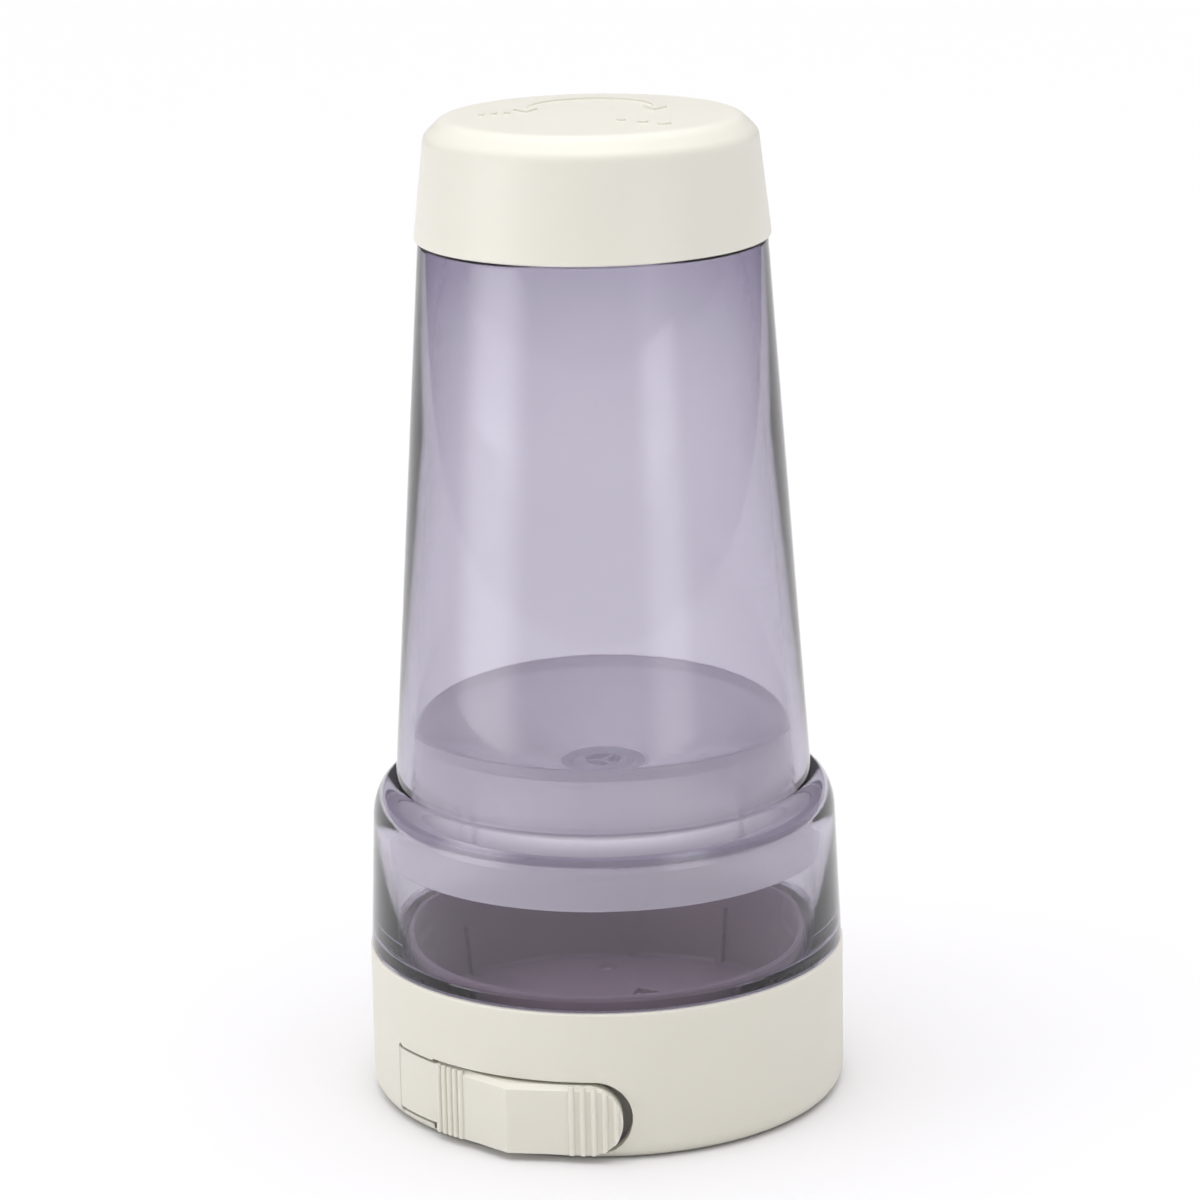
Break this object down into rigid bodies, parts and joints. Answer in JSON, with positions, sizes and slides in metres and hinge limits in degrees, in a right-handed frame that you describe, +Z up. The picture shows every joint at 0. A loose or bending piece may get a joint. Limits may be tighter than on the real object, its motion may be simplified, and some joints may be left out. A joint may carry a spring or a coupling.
{
  "type": "handheld table salt dispenser",
  "caption": "Hand-held table-salt dispenser: tinted clear bottle with a screw cap and inner funnel, on a white base whose side push lever turns a shutter to let salt fall out below.",
  "frame": {"origin": "on the bottle's axis, in the plane that the base rests on", "axes": "+Z up along the bottle's axis towards the cap; the push lever faces -Y"},
  "size_m": [0.07, 0.0715, 0.1449],
  "materials": {
    "white_plastic": "warm off-white moulded polypropylene, satin",
    "cap_plastic": "warm off-white moulded polypropylene, satin with a polished side",
    "lavender_plastic": "clear styrene-acrylic, tinted lavender, polished",
    "clear_plastic": "clear colourless moulded plastic, polished",
    "smoke_plastic": "smoke-tinted translucent moulded plastic",
    "soft_seal": "translucent white silicone rubber"
  },
  "bodies": {
    "body": {"base_cup": "white_plastic", "outlet_plate": "white_plastic", "pivot_pin": "clear_plastic", "dose_tray": "smoke_plastic", "tray_seal": "soft_seal", "bottle": "lavender_plastic", "base_seal": "soft_seal", "funnel": "clear_plastic", "outlet_grid": "clear_plastic", "funnel_gasket": "soft_seal"},
    "lever": {"push_lever": "white_plastic"},
    "shutter": {"shutter_disc": "white_plastic"},
    "liner": {"cap_liner": "soft_seal"},
    "cap": {"top_cap": "cap_plastic"}
  },
  "joints": [
    {"name": "lever_press", "type": "hinge", "parent": "body", "child": "lever", "pos_m": [-0.02923, -0.01756, 0.0067], "axis": [0, 0, 1], "range_deg": [0, 4], "stiffness_Nm_per_rad": 0.9},
    {"name": "shutter_turn", "type": "hinge", "parent": "body", "child": "shutter", "pos_m": [0, 0, 0.003], "axis": [0, 0, 1], "range_deg": [-19.6, 0]},
    {"name": "cap_lift", "type": "slide", "parent": "body", "child": "liner", "axis": [0, 0, 1], "range_m": [0, 0.0395]},
    {"name": "cap_turn", "type": "hinge", "parent": "liner", "child": "cap", "pos_m": [0, 0, 0.135], "axis": [0, 0, 1], "range_deg": [0, 1170]}
  ],
  "couplings": [
    {"joint": "shutter_turn", "follows": "lever_press", "ratio": -4.82},
    {"joint": "cap_lift", "follows": "cap_turn", "m_per_rad": 0.0019099}
  ]
}
